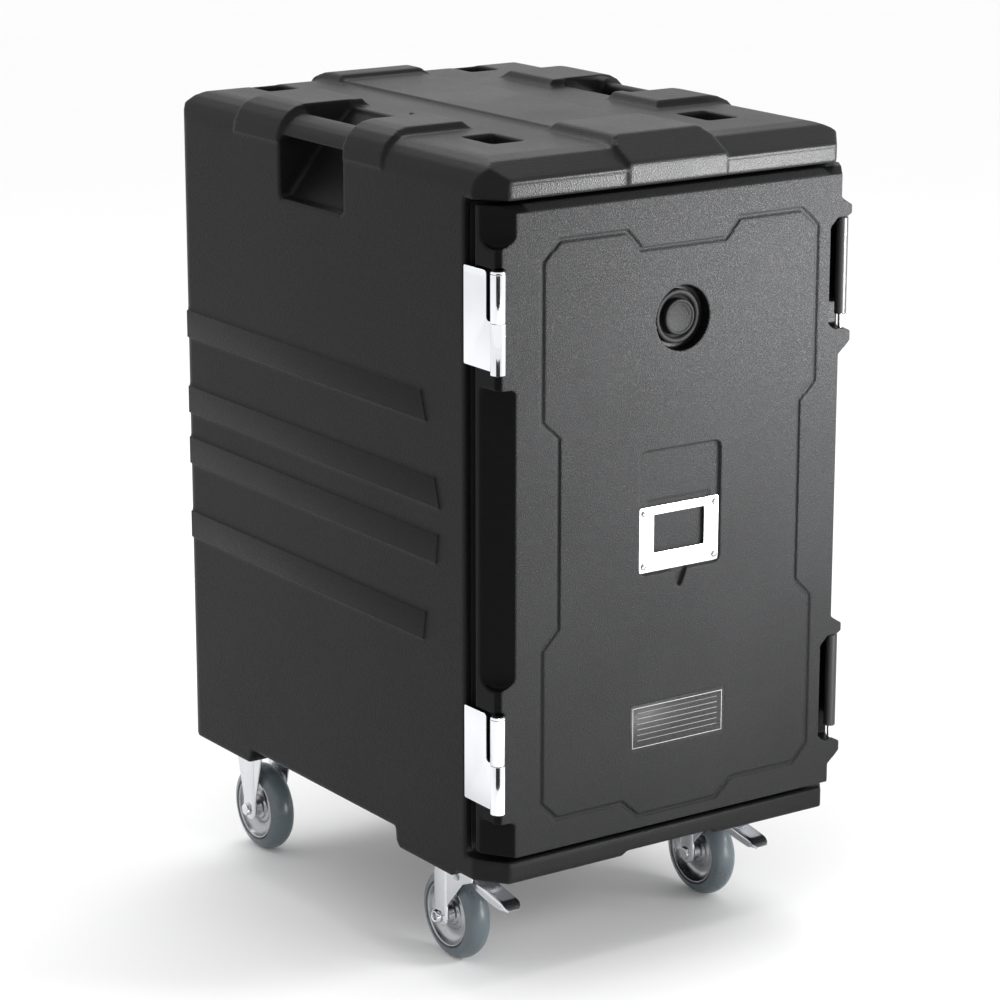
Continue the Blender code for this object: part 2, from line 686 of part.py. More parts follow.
def make_door_inside():
    foam = door_hollow("door_foam_block", GAP)
    CUTTERS.objects.unlink(foam)
    PARTS.objects.link(foam)
    foam.name = "door_foam"
    foam.hide_render = False
    foam.display_type = "TEXTURED"
    foam.data.materials.append(MATS["foam"])
    side = DOOR_HALF - 6.0 - GAP
    low = DOOR_Z0 + 6.0 + GAP
    high = DOOR_Z1 - 11.0 - GAP
    panel = box("door_liner", (-side, side), (28.0, DOOR_BACK), (low, high), "liner_plastic")
    plug = box("door_plug", (-160.0, 160.0), (29.0, 38.0), (213.0, 770.0))
    soften(plug, 6.0, 2, lambda a, b: 1.0 if min(a.y, b.y) > (37.0 - DEPTH_DATUM) * MM else 0.0)
    add(panel, plug)
    outer = rounded(-200.0, 200.0, 180.0, 812.0, 18.0, 4)
    inner = rounded(-188.0, 188.0, 192.0, 800.0, 8.0, 4)
    gasket = prism("door_gasket", outer, "d", DOOR_BACK + GAP, BODY_FRONT - GAP, "gasket_rubber")
    cut(gasket, prism("gasket_window", inner, "d", 20.0, 60.0))


# ------------------------------------------------------------------- hinges
def make_hinge(tag, shift):
    z0 = HINGE_Z0 - shift
    half = z0 + HINGE_H / 2.0
    top = z0 + HINGE_H
    outer = -230.6
    plate = box(f"hinge_body_leaf_{tag}", (outer, -228.3), (-5.0, 46.7), (z0, top), "hinge_chrome")
    cut(plate, box(f"leaf_relief_{tag}", (-240.0, -220.0), (-12.0, 9.0), (half - 0.4, top + 5.0)))
    foot_xs = (outer, -204.0)
    add(plate, box(f"leaf_foot_{tag}", foot_xs, (44.4, 46.7), (z0, top)))
    spot = (HINGE_X, HINGE_D, 0.0)
    add(plate, rod(f"low_knuckle_{tag}", KNUCKLE_R, "z", spot, z0 - 2.5, half, 16))
    cut(plate, rod(f"low_bore_{tag}", HINGE_PIN_R + GAP, "z", spot, z0 + 4.0, half + 30.0, 16))
    leaf_z = (half + 1.6, top - 1.2)
    leaf = box(f"hinge_door_leaf_{tag}", (-228.0, -225.6), (-6.0, 28.0), leaf_z, "hinge_chrome")
    add(leaf, rod(f"high_knuckle_{tag}", KNUCKLE_R, "z", spot, half + GAP, top - 1.2, 16))
    cut(leaf, rod(f"high_bore_{tag}", HINGE_PIN_R + GAP, "z", spot, half - 5.0, top + 10.0, 16))
    cap = top - 1.2 + GAP
    profile = [
        (0.0, z0 + 6.0), (HINGE_PIN_R, z0 + 6.0), (HINGE_PIN_R, cap), (KNUCKLE_R, cap),
        (KNUCKLE_R, cap + 1.6), (KNUCKLE_R - 1.6, cap + 3.0), (0.0, cap + 3.0),
    ]
    lathe(f"hinge_pin_{tag}", profile, "z", spot, 16, "pin_steel", math.pi / 16)


# ------------------------------------------------------------------ latches
def make_latch(tag, shift):
    spot = (LATCH_X, LATCH_D, -shift)
    lever = rod(f"latch_lever_{tag}", BARREL_R, "z", spot, LATCH_Z0, LATCH_Z1, 20, "nylon")
    outline = [
        (214.2, 0.4), (228.9, 21.6), (229.4, 31.0), (232.2, 38.0), (232.2, 76.0), (233.4, 78.0),
        (LATCH_OUTER, 78.0), (LATCH_OUTER, 31.0), (233.6, 18.4), (219.3, -2.2), (215.0, -4.0),
    ]
    z0 = LATCH_Z0 + 8.0 - shift
    z1 = LATCH_Z1 - 8.0 - shift
    add(lever, prism(f"latch_arm_{tag}", outline[::-1], "z", z0, z1))
    cut(lever, rod(f"barrel_bore_{tag}", LATCH_PIN_R + GAP, "z", spot, 680.0, 800.0, 16))
    rod(f"latch_pin_{tag}", LATCH_PIN_R, "z", spot, 655.3, 808.0, 16, "pin_steel")
    keeper_z = (LATCH_Z0 + 22.0 - shift, LATCH_Z1 - 22.0 - shift)
    keeper = box(f"latch_keeper_{tag}", (HALF_W + GAP, 231.8), (54.0, 72.0), keeper_z, "nylon")
    outer = 231.5 * MM
    soften(keeper, 0.8, 1, lambda a, b: 1.0 if min(a.x, b.x) > outer else 0.0)


# -------------------------------------------------- vent, menu holder, label
def make_vent():
    spot = (0.0, 0.0, VENT_Z)
    ring = [
        (8.3, 2.3), (22.2, 2.3), (23.0, 1.2), (24.0, 0.7), (27.3, 0.7), (28.5, 1.6), (28.5, 3.7),
        (8.3, 3.7),
    ]
    lathe("vent_housing", ring, "d", spot, 24, "shell_plastic")
    cap = [
        (0.0, -5.0), (15.5, -5.0), (18.0, -4.2), (19.0, -2.8), (19.0, 2.0), (8.0, 2.0), (8.0, 3.5),
        (0.0, 3.5),
    ]
    button = lathe("vent_cap", cap, "d", spot, 24, "nylon")
    finger = arc(0.0, VENT_Z, 14.0, 8.0, 74.0, 5) + arc(0.0, VENT_Z, 11.0, 74.0, 8.0, 5)
    cut(button, prism("vent_finger_mark", finger, "d", -6.0, -4.6))


def make_menu_holder():
    outline = rounded(-51.2, 51.2, 448.5, 517.5, 2.5, 2)
    frame = prism("menu_frame", outline, "d", -8.3, -6.3, "frame_steel")
    window = rounded(-32.5, 32.5, 468.0, 508.5, 1.5, 2)
    cut(frame, prism("menu_window", window, "d", -12.0, 0.0))
    profile = [
        (0.0, -9.9), (2.0, -9.8), (3.1, -9.2), (3.3, -8.6), (1.5, -8.6), (1.5, -3.6), (0.0, -3.6),
    ]
    for index, (x, z) in enumerate(screw_spots()):
        cut(frame, rod(f"frame_hole_{index}", 1.8, "d", (x, 0.0, z), -12.0, 0.0, 12))
        screw = lathe(f"menu_screw_{index + 1}", profile, "d", (x, 0.0, z), 12, "frame_steel")
        bar = box(f"screw_slot_{index}", (x - 2.2, x + 2.2), (-11.0, -9.4), (z - 0.4, z + 0.4))
        cut(screw, bar)
    plate = rounded(-LABEL_HALF + 0.4, LABEL_HALF - 0.4, LABEL_Z0 + 0.4, LABEL_Z1 - 0.4, 2.6, 2)
    prism("label_plate", plate, "d", -9.95, -9.3, "label_foil")


# ------------------------------------------------------------------ casters
def wheel(tag, x, depth):
    centre = (x, depth, AXLE_Z)
    phase = math.pi / WHEEL_SIDES - math.pi / 2.0
    tread = [
        (36.3, -12.8), (44.5, -15.0), (49.2, -11.0), (WHEEL_R, -5.5),
        (WHEEL_R, 5.5), (49.2, 11.0), (44.5, 15.0), (36.3, 12.8),
    ]
    lathe(f"tyre_{tag}", tread, "x", centre, WHEEL_SIDES, "tyre_grey", phase)
    disc = [
        (5.3, -16.0), (11.0, -16.0), (14.0, -6.0), (30.0, -4.0), (33.5, -12.5), (36.0, -12.5),
        (36.0, 12.5), (33.5, 12.5), (30.0, 4.0), (14.0, 6.0), (11.0, 16.0), (5.3, 16.0),
    ]
    lathe(f"wheel_rim_{tag}", disc, "x", centre, WHEEL_SIDES, "rim_metal", phase)
    axle(tag, centre, -1.0 if x < 0 else 1.0)


def axle(tag, centre, outward):
    body = [
        (0.0, -26.5), (6.0, -26.5), (7.6, -25.3), (7.6, -21.2), (4.9, -21.2), (4.9, 21.2), (7.6, 21.2),
        (7.6, 27.5), (5.0, 27.5), (5.0, 30.0), (0.0, 30.0),
    ]
    profile = [(r, off * outward) for r, off in body]
    lathe(f"axle_bolt_{tag}", profile, "x", centre, 12, "zinc_plate")


def fork_section(half, thick, top, crown):
    """Front view of a sheet fork: two cheeks joined by a crown."""
    inner = half - thick
    return [
        (half, 30.0), (half, top - 4.0), (half - 4.0, top),
        (-half + 4.0, top), (-half, top - 4.0), (-half, 30.0),
        (-inner, 30.0), (-inner, top - crown - 3.0), (-inner + 3.0, top - crown),
        (inner - 3.0, top - crown), (inner, top - crown - 3.0), (inner, 30.0),
    ]


def fork(name, x, section, side):
    shifted = [(x + u, z) for u, z in section]
    piece = prism(name, shifted, "d", side[0] - 1.0, side[1] + 1.0, "zinc_plate")
    return piece


def make_swivel_caster(tag, sign):
    x = sign * TRACK_HALF
    swivel = (x, SWIVEL_D, 0.0)
    seat = FOOT_FRONT_Z - GAP
    along = (SWIVEL_D - 34, SWIVEL_D + 34)
    plate = box(f"caster_plate_{tag}", (x - 42, x + 42), along, (seat - 3.2, seat), "zinc_plate")
    soften(plate, 5.0, 2, lambda a, b: 1.0 if abs(a.z - b.z) > 1e-6 else 0.0)
    add(plate, rod(f"plate_neck_{tag}", 21.0, "z", swivel, 121.0, seat - 1.0, 28))
    hang = fork(f"caster_fork_{tag}", x, fork_section(21.0, 2.2, 117.5, 2.6), (80.0, 185.0))
    axle_d = SWIVEL_D + TRAIL
    side = [(SWIVEL_D - 25, 120), (SWIVEL_D - 25, 106), (SWIVEL_D - 6, 98), (axle_d - 12, 66)]
    side += arc(axle_d, AXLE_Z, 12.5, 180, 360, 8)
    side += [(axle_d + 13.5, 104), (axle_d + 12, 120)]
    keep(hang, prism(f"fork_side_{tag}", side[::-1], "x", x - 40, x + 40))
    add(hang, rod(f"fork_race_{tag}", 24.0, "z", swivel, 116.0, 120.7, 28))
    cut(hang, rod(f"fork_axle_space_{tag}", 5.2, "x", (x, axle_d, AXLE_Z), -40.0, 40.0, 18))
    wheel(tag, x, axle_d)
    make_pedal(tag, x)
    pivot = (x, SWIVEL_D + 4.0, 103.5)
    cut(hang, rod(f"fork_pivot_space_{tag}", 3.3, "x", pivot, -40.0, 40.0, 16))


def make_pedal(tag, x):
    pivot = (x, SWIVEL_D + 4.0, 103.5)
    pedal = rod(f"brake_pedal_{tag}", 4.6, "x", pivot, -17.5, 17.5, 16, "zinc_plate")
    d = SWIVEL_D
    sheet = [
        (d + 4, 107.0), (d - 14, 104.5), (d - 52, 97.0), (d - 78, 92.0), (d - 78, 90.0), (d - 52, 94.8),
        (d - 14, 102.3), (d + 4, 101.0),
    ]
    add(pedal, prism(f"pedal_sheet_{tag}", sheet, "x", x - 11.0, x + 11.0))
    cheek = [
        (d + 2, 105.0), (d - 14, 103.6), (d - 52, 96.0), (d - 76, 91.4), (d - 77, 84.0),
        (d - 62, 79.0), (d - 40, 83.0), (d - 20, 93.0), (d + 2, 101.0),
    ]
    add(pedal, prism(f"pedal_cheek_{tag}", cheek, "x", x - 11.0, x - 8.8))
    cut(pedal, rod(f"pedal_bore_{tag}", 3.3, "x", pivot, -40.0, 40.0, 16))
    rod(f"pedal_pin_{tag}", 3.0, "x", pivot, -23.0, 23.0, 16, "pin_steel")


def make_rigid_caster(tag, sign):
    x = sign * TRACK_HALF
    seat = FOOT_REAR_Z - GAP
    hang = fork(f"caster_fork_{tag}", x, fork_section(21.0, 2.4, seat, 3.0), (520.0, 600.0))
    a = REAR_AXLE_D
    side = [(a - 30, 140), (a - 30, 128), (a - 13, 62)]
    side += arc(a, AXLE_Z, 13.0, 180, 360, 8)
    side += [(a + 13, 62), (a + 30, 128), (a + 30, 140)]
    keep(hang, prism(f"fork_side_{tag}", side[::-1], "x", x - 40, x + 40))
    plate = box(f"plate_{tag}", (x - 42, x + 42), (a - 34, a + 34), (seat - 3.2, seat))
    soften(plate, 5.0, 2, lambda p, q: 1.0 if abs(p.z - q.z) > 1e-6 else 0.0)
    add(hang, plate)
    cut(hang, rod(f"fork_axle_space_{tag}", 5.2, "x", (x, a, AXLE_Z), -40.0, 40.0, 18))
    wheel(tag, x, a)


# -------------------------------------------------------------------- build
make_body_shell()
make_body_foam()
make_liner()
make_door_shell()
make_door_inside()
for hinge_tag, hinge_shift in (("upper", 0.0), ("lower", HINGE_PITCH)):
    make_hinge(hinge_tag, hinge_shift)
for latch_tag, latch_shift in (("upper", 0.0), ("lower", LATCH_PITCH)):
    make_latch(latch_tag, latch_shift)
make_vent()
make_menu_holder()
make_swivel_caster("fl", -1)
make_swivel_caster("fr", 1)
make_rigid_caster("rl", -1)
make_rigid_caster("rr", 1)


# ------------------------------------------------------ pieces on their axes
def axis_empty(name, x, depth, z, parent=None):
    """Empty on a joint's axis, for the pieces that turn about it."""
    empty = bpy.data.objects.new(name, None)
    empty.empty_display_size = 0.03
    PARTS.objects.link(empty)
    spot = point(x, depth, z)
    empty.location = spot
    if parent is not None:
        empty.parent = parent
        empty.matrix_parent_inverse = Matrix.Translation(-point_of(parent))
    empty["axis_point"] = tuple(spot)
    return empty


def point_of(empty):
    return Vector(empty["axis_point"])


def hang(empty, *names):
    """Parent pieces to an empty without moving them."""
    for name in names:
        piece = bpy.data.objects[name]
        piece.parent = empty
        piece.matrix_parent_inverse = Matrix.Translation(-point_of(empty))


def hang_door():
    door = axis_empty("door_axis", HINGE_X, HINGE_D, DOOR_Z0)
    hang(door, "door_shell", "door_foam", "door_liner", "door_gasket", "label_plate", "menu_frame")
    hang(door, "vent_housing", "menu_screw_1", "menu_screw_2", "menu_screw_3", "menu_screw_4")
    for tag, shift in (("upper", 0.0), ("lower", LATCH_PITCH)):
        hang(door, f"hinge_door_leaf_{tag}", f"latch_pin_{tag}")
        latch = axis_empty(f"latch_axis_{tag}", LATCH_X, LATCH_D, LATCH_Z0 - shift, door)
        hang(latch, f"latch_lever_{tag}")
    vent = axis_empty("vent_axis", 0.0, DOOR_FRONT, VENT_Z, door)
    hang(vent, "vent_cap")


def hang_casters():
    for tag, sign in (("fl", -1), ("fr", 1)):
        x = sign * TRACK_HALF
        swivel = axis_empty(f"swivel_axis_{tag}", x, SWIVEL_D, 117.5)
        hang(swivel, f"caster_fork_{tag}", f"axle_bolt_{tag}", f"pedal_pin_{tag}")
        wheel_axis = axis_empty(f"wheel_axis_{tag}", x, SWIVEL_D + TRAIL, AXLE_Z, swivel)
        hang(wheel_axis, f"tyre_{tag}", f"wheel_rim_{tag}")
        pedal = axis_empty(f"pedal_axis_{tag}", x, SWIVEL_D + 4.0, 103.5, swivel)
        hang(pedal, f"brake_pedal_{tag}")
    for tag, sign in (("rl", -1), ("rr", 1)):
        wheel_axis = axis_empty(f"wheel_axis_{tag}", sign * TRACK_HALF, REAR_AXLE_D, AXLE_Z)
        hang(wheel_axis, f"tyre_{tag}", f"wheel_rim_{tag}")


hang_door()
hang_casters()
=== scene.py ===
import math

import bmesh
import bpy
from mathutils import Matrix, Vector


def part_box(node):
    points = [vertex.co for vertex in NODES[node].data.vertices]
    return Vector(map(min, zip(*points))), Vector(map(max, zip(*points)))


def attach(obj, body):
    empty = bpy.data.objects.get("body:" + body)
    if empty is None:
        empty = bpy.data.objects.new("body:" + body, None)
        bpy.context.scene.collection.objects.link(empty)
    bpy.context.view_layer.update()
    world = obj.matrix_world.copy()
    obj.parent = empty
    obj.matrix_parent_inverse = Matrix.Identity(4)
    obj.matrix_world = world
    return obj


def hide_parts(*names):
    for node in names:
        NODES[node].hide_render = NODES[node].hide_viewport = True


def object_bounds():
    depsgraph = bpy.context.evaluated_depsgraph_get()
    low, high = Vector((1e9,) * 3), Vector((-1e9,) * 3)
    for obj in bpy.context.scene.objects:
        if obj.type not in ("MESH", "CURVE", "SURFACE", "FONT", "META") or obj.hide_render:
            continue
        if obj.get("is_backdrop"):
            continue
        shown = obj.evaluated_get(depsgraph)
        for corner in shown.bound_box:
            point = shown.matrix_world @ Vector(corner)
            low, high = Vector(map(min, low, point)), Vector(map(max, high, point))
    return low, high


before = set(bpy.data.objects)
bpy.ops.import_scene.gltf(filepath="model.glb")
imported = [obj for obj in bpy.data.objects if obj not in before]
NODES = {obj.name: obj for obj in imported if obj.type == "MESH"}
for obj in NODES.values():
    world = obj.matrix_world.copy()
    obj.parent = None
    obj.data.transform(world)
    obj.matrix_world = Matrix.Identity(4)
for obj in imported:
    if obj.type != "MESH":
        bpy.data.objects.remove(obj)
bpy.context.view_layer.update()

MM = 0.001
SCENE = bpy.context.scene

# The frame has x across, y back from the object's middle and z up, in metres. The pieces below are
# written in millimetres, with depths counted from the sill's front face. Materials use metres.
SILL_TO_MIDDLE = 298.2
AXLE_Z = 50.95
VENT_Z = 711.0
WHEEL_SIDES = 96
FOAM_GAP = 1.6

DOOR_FRONT_Y = -0.3079
DOOR_SIDE_X = 0.1925
VENT_WELL_RADIUS = 0.0400

PLATE_MID_Z = 0.2825
PLATE_HALF = (0.0586, 0.0220)
PLATE_LINE = 0.0006
PLATE_RULES_HALF = (0.0522, 0.0162)
PLATE_RULE_GAP = 0.003


# ---------------------------------------------------------------- materials
class Graph:
    """Small helper for building a material's node tree."""

    def __init__(self, name):
        self.material = bpy.data.materials.new(name)
        self.material.use_nodes = True
        self.tree = self.material.node_tree
        self.shader = self.tree.nodes["Principled BSDF"]
        self.coords = self.tree.nodes.new("ShaderNodeTexCoord").outputs["Object"]

    def node(self, kind, inputs=None, **fields):
        made = self.tree.nodes.new(kind)
        for key, value in fields.items():
            setattr(made, key, value)
        for key, value in (inputs or {}).items():
            self.link(value, made.inputs[key])
        return made

    def link(self, value, socket):
        if isinstance(value, bpy.types.NodeSocket):
            self.tree.links.new(value, socket)
        else:
            socket.default_value = value

    def stretched(self, scale):
        made = self.node("ShaderNodeMapping", {"Vector": self.coords, "Scale": scale})
        return made.outputs["Vector"]

    def noise(self, scale, detail=4.0, roughness=0.55, vector=None):
        made = self.node("ShaderNodeTexNoise", {
            "Vector": vector or self.coords, "Scale": scale, "Detail": detail, "Roughness": roughness,
        })
        return made.outputs["Fac"]

    def cells(self, scale):
        made = self.node("ShaderNodeTexVoronoi", {
            "Vector": self.coords, "Scale": scale, "Randomness": 1.0,
        }, feature="SMOOTH_F1")
        return made.outputs["Distance"]

    def ramp(self, value, low, high, to_low, to_high, smooth=False):
        kind = "SMOOTHSTEP" if smooth else "LINEAR"
        made = self.node("ShaderNodeMapRange", {
            "Value": value, "From Min": low, "From Max": high, "To Min": to_low, "To Max": to_high,
        }, interpolation_type=kind)
        return made.outputs["Result"]

    def math(self, operation, a, b=0.0):
        made = self.node("ShaderNodeMath", operation=operation)
        self.link(a, made.inputs[0])
        self.link(b, made.inputs[1])
        return made.outputs[0]

    def mix(self, factor, a, b):
        made = self.node("ShaderNodeMix", data_type="RGBA")
        self.link(factor, made.inputs[0])
        self.link(a, made.inputs[6])
        self.link(b, made.inputs[7])
        return made.outputs[2]

    def bump(self, height, strength, distance, below=None):
        inputs = {"Height": height, "Strength": strength, "Distance": distance}
        if below is not None:
            inputs["Normal"] = below
        made = self.node("ShaderNodeBump", inputs)
        return made.outputs["Normal"]

    def split(self):
        made = self.node("ShaderNodeSeparateXYZ", {"Vector": self.coords})
        return made.outputs

    def finish(self, colour=None, roughness=None, normal=None, metallic=None, fixed=()):
        for key, value in (("Base Color", colour), ("Roughness", roughness),
                           ("Normal", normal), ("Metallic", metallic)):
            if value is not None:
                self.link(value, self.shader.inputs[key])
        for key, value in dict(fixed).items():
            self.shader.inputs[key].default_value = value
        return self.material


def grey(value, tint=(1.0, 1.0, 1.0)):
    return (value * tint[0], value * tint[1], value * tint[2], 1.0)


COOL = (0.985, 1.0, 1.035)


def moulded_plastic(
    name, dark, light, pebble, pebble_height, fine_height, rough, gloss=0.25, front_only=False,
):
    """Roto-moulded plastic: pebble grain over a fine grain, with slow mottling.

    With front_only the grain fades on the sides behind the door's front, and their colour is darkened there as
    painted shade.
    """
    g = Graph(name)
    slow = g.noise(6.0, 3.0)
    speck = g.noise(900.0, 2.0)
    pores = g.cells(pebble)
    pores_2 = g.cells(pebble * 1.9)
    blend = g.math("ADD", g.math("MULTIPLY", slow, 0.5), g.math("MULTIPLY", speck, 0.5))
    valley = g.ramp(pores, 0.12, 0.55, 1.0, 0.0, True)
    colour = g.mix(g.ramp(blend, 0.35, 0.65, 0.0, 1.0), grey(dark, COOL), grey(light, COOL))
    colour = g.mix(g.math("MULTIPLY", valley, 0.3), colour, grey(light * 1.4, COOL))
    height = g.math("ADD", valley, g.math("MULTIPLY", pores_2, -0.35))
    reach = pebble_height
    if front_only:
        across, depth = g.split()[:2]
        at_side = g.ramp(g.math("ABSOLUTE", across), 0.188, 0.193, 0.0, 1.0, True)
        behind = g.ramp(depth, DOOR_FRONT_Y, DOOR_FRONT_Y + 0.0011, 0.0, 1.0, True)
        plain = g.math("MULTIPLY", at_side, behind)
        reach = g.ramp(plain, 0.0, 1.0, pebble_height, 0.1)
        # Painted shade: the sides behind the door's front are darkened in colour.
        colour = g.mix(plain, colour, grey(dark * 0.2, COOL))
    normal = g.bump(height, reach, 0.0009)
    normal = g.bump(g.noise(1400.0, 3.0), fine_height, 0.0004, normal)
    worn = g.math("ADD", slow, g.math("MULTIPLY", valley, -0.35))
    roughness = g.ramp(worn, 0.1, 0.8, rough - 0.05, rough + 0.1)
    return g.finish(colour, roughness, normal, fixed={"Specular IOR Level": gloss})


def chrome(name, tone, rough):
    g = Graph(name)
    smear = g.noise(35.0, 4.0)
    hair = g.noise(60.0, 3.0, vector=g.stretched((1.0, 1.0, 14.0)))
    colour = g.mix(smear, grey(tone, COOL), grey(tone * 0.9, COOL))
    roughness = g.ramp(hair, 0.3, 0.7, rough, rough + 0.06)
    normal = g.bump(g.noise(220.0, 3.0), 0.04, 0.0003)
    return g.finish(colour, roughness, normal, metallic=1.0)


def brushed(name, tone, rough, along):
    g = Graph(name)
    lines = g.noise(180.0, 4.0, 0.6, g.stretched(along))
    cloud = g.noise(25.0, 3.0)
    colour = g.mix(g.ramp(lines, 0.3, 0.7, 0.0, 1.0), grey(tone * 0.82, COOL), grey(tone, COOL))
    roughness = g.ramp(g.math("ADD", lines, g.math("MULTIPLY", cloud, 0.4)), 0.4, 1.0, rough, rough + 0.16)
    normal = g.bump(lines, 0.12, 0.0003)
    return g.finish(colour, roughness, normal, metallic=1.0)


def rubber(name, tone, tint, rough, grain):
    g = Graph(name)
    cloud = g.noise(30.0, 4.0)
    dust = g.noise(700.0, 3.0)
    colour = g.mix(g.ramp(cloud, 0.3, 0.7, 0.0, 1.0), grey(tone, tint), grey(tone * 1.22, tint))
    colour = g.mix(g.ramp(dust, 0.45, 0.75, 0.0, 0.35), colour, grey(tone * 1.5, tint))
    normal = g.bump(g.noise(grain, 3.0), 0.22, 0.0004)
    return g.finish(colour, g.ramp(cloud, 0.3, 0.7, rough, rough + 0.12), normal)


def foam_material(name):
    g = Graph(name)
    pores = g.cells(420.0)
    deep = grey(0.5, (1.0, 0.86, 0.55))
    pale = grey(0.75, (1.0, 0.88, 0.6))
    colour = g.mix(g.ramp(pores, 0.1, 0.7, 0.0, 1.0), deep, pale)
    return g.finish(colour, 0.9, g.bump(pores, 0.5, 0.001))


def rating_plate(name):
    """Dark plate with a silver border line and plain ruled lines, as on a blank form."""
    g = Graph(name)
    x, _, z = g.split()
    cloud = g.noise(40.0, 3.0)
    fine = g.noise(700.0, 3.0, vector=g.stretched((0.2, 1.0, 1.0)))
    side = g.math("ABSOLUTE", x)
    rise = g.math("SUBTRACT", z, PLATE_MID_Z)
    height = g.math("ABSOLUTE", rise)

    def inside(half_width, half_height):
        edge = 0.0002
        in_width = g.ramp(side, half_width - edge, half_width, 1.0, 0.0)
        in_height = g.ramp(height, half_height - edge, half_height, 1.0, 0.0)
        return g.math("MULTIPLY", in_width, in_height)

    outer = inside(*PLATE_HALF)
    inner = inside(PLATE_HALF[0] - PLATE_LINE, PLATE_HALF[1] - PLATE_LINE)
    border = g.math("SUBTRACT", outer, inner)
    wave = g.math("PINGPONG", g.math("ADD", rise, 0.05), PLATE_RULE_GAP)
    rules = g.ramp(wave, 0.00022, 0.00034, 1.0, 0.0)
    ruled = g.math("MULTIPLY", inside(*PLATE_RULES_HALF), 0.55)
    marks = g.math("MAXIMUM", border, g.math("MULTIPLY", rules, ruled))
    base = g.mix(cloud, grey(0.008, COOL), grey(0.014, COOL))
    colour = g.mix(marks, base, grey(0.32))
    roughness = g.ramp(fine, 0.3, 0.7, 0.24, 0.36)
    return g.finish(colour, roughness, g.bump(marks, 0.15, 0.0002), fixed={"Specular IOR Level": 0.2})


MATS = {
    # The body's plastic is set darker than the door's as painted shade for its sides, which face away from the
    # key light.
    "body": moulded_plastic("body_plastic", 0.0060, 0.0090, 640.0, 0.16, 0.22, 0.36, 0.09),
    "door": moulded_plastic("door_plastic", 0.0125, 0.0185, 900.0, 0.5, 0.3, 0.42, 0.07, True),
    # The darkest plastic is painted shade, on the door's side flats, the vent's well and the hinge arms.
    "edge": moulded_plastic("edge_painted_shade_plastic", 0.0026, 0.0042, 640.0, 0.10, 0.15, 0.34, 0.05),
    "liner": moulded_plastic("liner_plastic", 0.013, 0.019, 620.0, 0.2, 0.2, 0.42, 0.14),
    "nylon": moulded_plastic("latch_nylon", 0.010, 0.016, 900.0, 0.1, 0.15, 0.34),
    "vent": moulded_plastic("vent_plastic", 0.006, 0.009, 800.0, 0.14, 0.15, 0.42, 0.04),
    "chrome": chrome("hinge_chrome", 0.9, 0.05),
    "pin": brushed("pin_steel", 0.62, 0.22, (1.0, 1.0, 0.1)),
    "screw": brushed("screw_steel", 0.34, 0.2, (1.0, 1.0, 1.0)),
    "frame": brushed("frame_steel", 0.60, 0.3, (0.12, 1.0, 2.0)),
    "label": rating_plate("label_plate"),
    "zinc": chrome("zinc_plate", 0.74, 0.16),
    "rim": brushed("rim_metal", 0.44, 0.22, (1.0, 0.3, 0.3)),
    "tyre": rubber("tyre_grey", 0.092, (0.80, 1.0, 1.12), 0.26, 900.0),
    "gasket": rubber("gasket_rubber", 0.02, (1.0, 1.0, 1.0), 0.6, 600.0),
    "foam": foam_material("poured_foam"),
}

NODE_LOOK = {
    "inner_liner": "liner", "door_liner": "liner", "body_foam": "foam", "door_foam": "foam",
    "door_gasket": "gasket", "label_plate": "label", "menu_frame": "frame", "vent_housing": "vent",
    "vent_cap": "vent", "body_shell": "body", "door_shell": "door",
}


def look_of(name):
    """The material key of a CAD node."""
    if name in NODE_LOOK:
        return NODE_LOOK[name]
    starts = {
        "hinge_pin": "pin", "hinge_": "chrome", "latch_pin": "pin", "latch_": "nylon",
        "menu_screw": "frame", "pan_rack": "liner", "tyre_": "tyre", "wheel_rim": "rim",
        "axle_bolt": "zinc", "caster_": "zinc", "brake_pedal": "zinc", "pedal_pin": "pin",
    }
    for start, key in starts.items():
        if name.startswith(start):
            return key
    raise ValueError(name)


for node_name, node_object in NODES.items():
    node_object.data.materials.clear()
    node_object.data.materials.append(MATS[look_of(node_name)])


# ------------------------------------------------------------ visual pieces
def link(name, mesh, look, body):
    """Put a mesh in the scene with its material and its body."""
    obj = bpy.data.objects.new(name, mesh)
    SCENE.collection.objects.link(obj)
    obj.data.materials.clear()
    obj.data.materials.append(MATS[look])
    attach(obj, body)
    return obj


def soft_solid(name, node, filler, voxel, smooth, ratio, look, body):
    """Rounded copy of a moulded skin, with its hollow filled so only the outside is left."""
    bm = bmesh.new()
    bm.from_mesh(NODES[node].data)
    bmesh.ops.remove_doubles(bm, verts=bm.verts, dist=1e-6)
    if filler:
        core = bmesh.new()
        core.from_mesh(NODES[filler].data)
        bmesh.ops.remove_doubles(core, verts=core.verts, dist=1e-6)
        core.normal_update()
        moves = [vert.normal.copy() for vert in core.verts]
        for vert, normal in zip(core.verts, moves):
            vert.co += normal * FOAM_GAP * MM
        grown = bpy.data.meshes.new("core")
        core.to_mesh(grown)
        core.free()
        bm.from_mesh(grown)
    mesh = bpy.data.meshes.new(name)
    bm.to_mesh(mesh)
    bm.free()
    obj = link(name, mesh, look, body)
    remesh = obj.modifiers.new("skin", "REMESH")
    remesh.mode = "VOXEL"
    remesh.voxel_size = voxel
    remesh.use_smooth_shade = True
    soften = obj.modifiers.new("soften", "SMOOTH")
    soften.factor = 0.5
    soften.iterations = smooth
    thin = obj.modifiers.new("thin", "DECIMATE")
    thin.ratio = ratio
    flatten(obj)
    obj.data.shade_smooth()
    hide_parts(node)
    return obj


def flatten(obj):
    """Apply an object's modifiers to its mesh."""
    bpy.context.view_layer.update()
    graph = bpy.context.evaluated_depsgraph_get()
    mesh = bpy.data.meshes.new_from_object(obj.evaluated_get(graph))
    obj.modifiers.clear()
    obj.data = mesh


def row(x, depth, z):
    """A point from millimetres: across, back from the sill's front face, and up."""
    return Vector((x * MM, (depth - SILL_TO_MIDDLE) * MM, z * MM))


